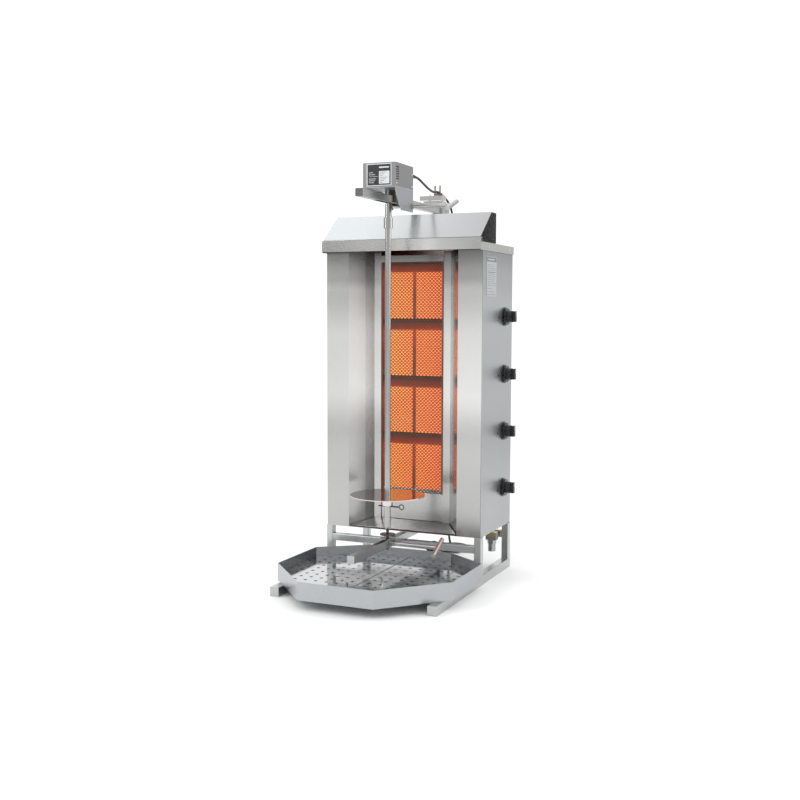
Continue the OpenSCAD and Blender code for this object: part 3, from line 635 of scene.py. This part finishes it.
def make_rating_plate():
    """Blank label on the right side: dark header over a pale table of plain rules."""
    paper, header, rule = range(3)
    fields = [
        (0, 1, 0, 0.27, 0, paper),
        (0, 1, 0.29, 1, 0, paper),
        (0.03, 0.97, 0.87, 0.985, 0.15, header),
        (0.10, 0.80, 0.91, 0.945, 0.25, paper),
    ]
    for row in range(11):
        z = 0.33 + row * 0.046
        fields.append((0.07, 0.93 - 0.22 * ragged(row, 3), z, z + 0.008, 0.15, rule))
    fields.append((0.07, 0.93, 0.60, 0.612, 0.15, header))
    for row in range(3):
        z = 0.05 + row * 0.07
        fields.append((0.07, 0.90 - 0.15 * row, z, z + 0.008, 0.15, rule))
    face = label_face("rating_plate", 1, (0, 1), fields)
    plate = new_piece("rating_plate_face", face, "stand", LABEL_SILVER)
    for material in (LABEL_GREY, LABEL_GREY):
        face.materials.append(material)
    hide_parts("rating_plate")


def right_side(node):
    """Millimetres from the housing's middle plane to a node's right side."""
    return (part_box(node)[1].x - MID_X) / MM


def make_knob_pointers():
    """White line on each knob, from near its middle towards its rim. Knob 1 is the top one."""
    half_width = 0.8
    for index in range(BURNERS):
        knob = f"knob_{BURNERS - index}"
        z = LOWEST_KNOB_Z + index * BURNER_PITCH
        low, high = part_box(knob)
        radius = (high.z - low.z) / 2 / MM
        face = right_side(knob)
        corner = (face - 1, KNOB_Y - half_width, z + 2)
        opposite = (face + 0.3, KNOB_Y + half_width, z + radius * 0.8)
        block_piece(f"knob_pointer_{BURNERS - index}", corner, opposite, knob, WHITE_MARK)


def make_motor_box_details():
    """Painted shadow behind the louvres, as a black sheet, and the bright lower edge, on the motor box's
    right side.
    """
    side = right_side("motor_housing")
    # painted shadow: a black sheet behind the louvre slots stands for the dark inside of the box
    shadow = ((side - 1.9, -149, 1067), (side - 1.3, -124, 1104))
    block_piece("louvre_shadow", *shadow, "motor_carriage", LABEL_AND_SHADOW_BLACK)
    lip = ((side - 0.5, -150, 1052.4), (side + 0.7, -35, 1054.0))
    block_piece("housing_lip", *lip, "motor_carriage", BRIGHT_STEEL, rounded=0.3)


def make_insert_details():
    """Folded edge where the tray's two inserts meet, and bright sleeves on their lifting knobs."""
    low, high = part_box("tray_insert_right")
    corner = (0.2, (low.y - FRONT_Y) / MM + 1, INSERT_TOP - 1)
    opposite = (2.0, (high.y - FRONT_Y) / MM - 1, INSERT_TOP + 0.5)
    block_piece("insert_fold", corner, opposite, "insert_right", DARK_STEEL)
    radius, height = 3.9, 10.8
    for side, (x, y) in INSERT_KNOBS.items():
        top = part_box(f"tray_insert_{side}")[1].z / MM
        at = (x, y, top - height / 2 + 0.2)
        disc_piece(f"insert_knob_{side}", at, (0, 0, 1), radius, height, f"insert_{side}", BRIGHT_STEEL)


def make_housing_screws():
    """Domed screws on the motor box's right side."""
    side = right_side("motor_housing")
    screws = {"rear_upper": (-42, 1094), "rear_lower": (-42, 1062), "front_lower": (-142, 1062)}
    for corner, (y, z) in screws.items():
        name = f"housing_screw_{corner}"
        disc_piece(name, (side, y, z), (1, 0, 0), 3.0, 1.3, "motor_carriage", BRIGHT_STEEL, domed=True)


# ---------- motor cord ----------

CORD_D = 6.5
# the CAD's own route, from the gland over the forked hook and down to the coil
CORD_ROUTE = [
    (35, 3, 1094), (35, 20, 1093), (34, 40, 1090), (31, 65, 1086), (28, 90, 1082),
    (24, 115, 1079), (20, 140, 1077), (15, 165, 1076), (10, 190, 1076), (6, 210, 1077),
    (2, 230, 1079), (-1, 245, 1081), (-3, 262, 1082.5), (-1, 278, 1080), (3, 292, 1074),
    (9, 303, 1064), (15, 312, 1050), (20, 317, 1032), (23, 320, 1010), (24, 321, 985),
    (24, 321, 940), (23, 321, 860), (22, 321, 740), (20, 321, 600), (18, 321, 460),
    (17, 321, 320), (16, 321, 200), (16, 321, 120), (16, 322, 80), (17, 325, 50),
    (21, 331, 28), (28, 341, 12), (35, 354, 5), (40, 366, 3.5), (41, 380, 3.5),
]  # fmt: skip
COIL_AT = (3, 392)
COIL_MEAN_R = 38
# each turn's place across the coil: in from the outer column, then back out one layer up
COIL_COLUMNS = [1, 0, -1, -1, 0, 1]
TURNS_PER_LAYER = 3
# share of a turn after which the flex moves over to the next turn's place
CROSSING_FROM = 0.6


def coil_path():
    """Turns that lie beside each other in two layers."""
    points_per_turn = 24
    places = [(column, turn // TURNS_PER_LAYER) for turn, column in enumerate(COIL_COLUMNS)]
    path = []
    for (column, layer), (next_column, next_layer) in zip(places, [*places[1:], places[-1]]):
        for step in range(points_per_turn):
            share = step / points_per_turn
            crossing = max(0.0, (share - CROSSING_FROM) / (1 - CROSSING_FROM))
            crossing = crossing * crossing * (3 - 2 * crossing)
            radius = COIL_MEAN_R + CORD_D * (column + (next_column - column) * crossing)
            z = CORD_D * (0.5 + layer + (next_layer - layer) * crossing) + 0.2
            angle = 2 * math.pi * share
            path.append((COIL_AT[0] + radius * math.cos(angle), COIL_AT[1] + radius * math.sin(angle), z))
    return path


def make_cord():
    # the route's last two points lead into the CAD's plain ring, and give way to the coil's turns
    route = smooth_path([place(*point) for point in CORD_ROUTE[:-2] + coil_path()], 4)
    tube = tube_mesh(route, CORD_D * MM / 2)
    tube.materials.append(BLACK_RUBBER)
    cord = bpy.data.objects.new("motor_cord_flex", tube)
    bpy.context.scene.collection.objects.link(cord)
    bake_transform(cord)
    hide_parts("motor_cord", "cord_coil")


def make_coil_tie():
    """Cable tie around the coil's turns, on its left side."""
    segments = 24
    half_width, band = 2.0, 0.8
    half_across = TURNS_PER_LAYER * CORD_D / 2 + 1.4
    half_up = CORD_D + 0.2
    bm = bmesh.new()
    rings = []
    for y in (-half_width, half_width):
        ring = []
        for step in range(segments):
            angle = 2 * math.pi * step / segments
            x = COIL_MEAN_R + half_across * math.cos(angle)
            z = CORD_D + 0.4 + half_up * math.sin(angle)
            ring.append(bm.verts.new(place(COIL_AT[0] - x, COIL_AT[1] + y, z)))
        rings.append(ring)
    near, far = rings
    for i in range(segments):
        j = (i + 1) % segments
        bm.faces.new((near[i], near[j], far[j], far[i]))
    tie = new_piece("coil_tie", mesh_of("coil_tie", bm), "stand", BLACK_RUBBER, smooth=True)
    thickness = tie.modifiers.new("thickness", "SOLIDIFY")
    thickness.thickness = band * MM
    thickness.offset = -1


# ---------- stage ----------


FLOOR_RADIUS = 2.6


def make_stage():
    bm = bmesh.new()
    bmesh.ops.create_circle(bm, cap_ends=True, segments=128, radius=FLOOR_RADIUS)
    floor = bpy.data.objects.new("floor", mesh_of("floor", bm))
    bpy.context.scene.collection.objects.link(floor)
    n = Surface("pale_floor")
    n.set(Base_Color=n.mix(n.noise(3), rgb(0.86, 0.86, 0.86), rgb(0.88, 0.88, 0.88)), Roughness=0.6)
    floor.data.materials.append(n.material)


def make_world():
    """Studio surroundings: white behind and overhead, grey with a bright band in front."""
    world = bpy.data.worlds.new("studio")
    world.use_nodes = True
    bpy.context.scene.world = world
    n = Nodes(world.node_tree, "Generated")
    parts = n.add("ShaderNodeSeparateXYZ", {"Vector": n.coordinates})
    x, y, z = (parts.outputs[i] for i in "XYZ")
    # height in the surroundings, 0 far below the horizon, 0.5 at it and 1 above
    height = n.ramp(z, -0.5, 0.5)
    front = n.stops(
        height,
        (0.0, rgb(0.62, 0.62, 0.61)),
        (0.34, rgb(0.70, 0.70, 0.69)),
        (0.43, rgb(0.95, 0.95, 0.95)),
        (0.50, rgb(0.70, 0.70, 0.69)),
        (0.58, rgb(0.48, 0.48, 0.475)),
        (0.72, rgb(0.80, 0.80, 0.80)),
        (1.0, rgb(1.0, 1.0, 1.0)),
    )
    right = n.stops(
        height,
        (0.0, rgb(0.60, 0.58, 0.56)),
        (0.37, rgb(0.56, 0.535, 0.52)),
        (0.43, rgb(0.95, 0.94, 0.92)),
        (0.49, rgb(0.90, 0.87, 0.85)),
        (0.58, rgb(0.48, 0.47, 0.465)),
        (0.72, rgb(0.80, 0.80, 0.80)),
        (1.0, rgb(1.0, 1.0, 1.0)),
    )
    # direction around the object in half turns: 0 at the right, 0.5 behind and -0.5 in front
    azimuth = n.math("DIVIDE", n.math("ARCTAN2", y, x), math.pi)
    # more light from straight ahead than from the front left
    brightening = n.ramp(azimuth, -0.68, -0.58, 0.70, 1.10)
    front = n.scaled(front, brightening)
    to_right = n.ramp(azimuth, -0.42, -0.30)
    ahead = n.mix(to_right, front, right)
    # behind the object it is white, and greyer towards either side
    behind = n.stops(
        n.ramp(azimuth, 0.0, 1.0),
        (0.0, 0.45),
        (0.34, 0.62),
        (0.40, 0.72),
        (0.49, 1.0),
        (0.78, 1.0),
        (1.0, 0.6),
    )
    is_behind = n.ramp(azimuth, -0.04, 0.10)
    level = n.mix(is_behind, ahead, behind)
    overhead = n.ramp(z, 0.35, 0.65)
    colour = n.mix(overhead, level, rgb(1.0, 1.0, 1.0))
    strength = n.ramp(overhead, 0.0, 1.0, 1.12, 1.32)
    background = n.tree.nodes["Background"]
    n.put(background.inputs["Color"], colour)
    n.put(background.inputs["Strength"], strength)


def area_light(name, at, target, size, power):
    data = bpy.data.lights.new(name, "AREA")
    data.shape = "RECTANGLE"
    data.size, data.size_y = size
    data.energy = power
    light = bpy.data.objects.new(name, data)
    bpy.context.scene.collection.objects.link(light)
    light.location = at
    light.rotation_euler = (Vector(target) - Vector(at)).to_track_quat("-Z", "Y").to_euler()


def make_lights():
    middle = (0, 0, 0.5)
    area_light("key_softbox", (-2.2, -2.2, 2.2), middle, (1.2, 2.0), 40)
    area_light("right_softbox", (2.4, 0.6, 1.6), middle, (1.0, 2.0), 18)


make_camera()
make_cord()
make_coil_tie()
finish_cad_nodes()
make_mesh_guard()
make_type_plate()
make_rating_plate()
make_knob_pointers()
make_motor_box_details()
make_insert_details()
make_housing_screws()
make_stage()
make_world()
make_lights()
bpy.context.scene.view_settings.view_transform = "Standard"
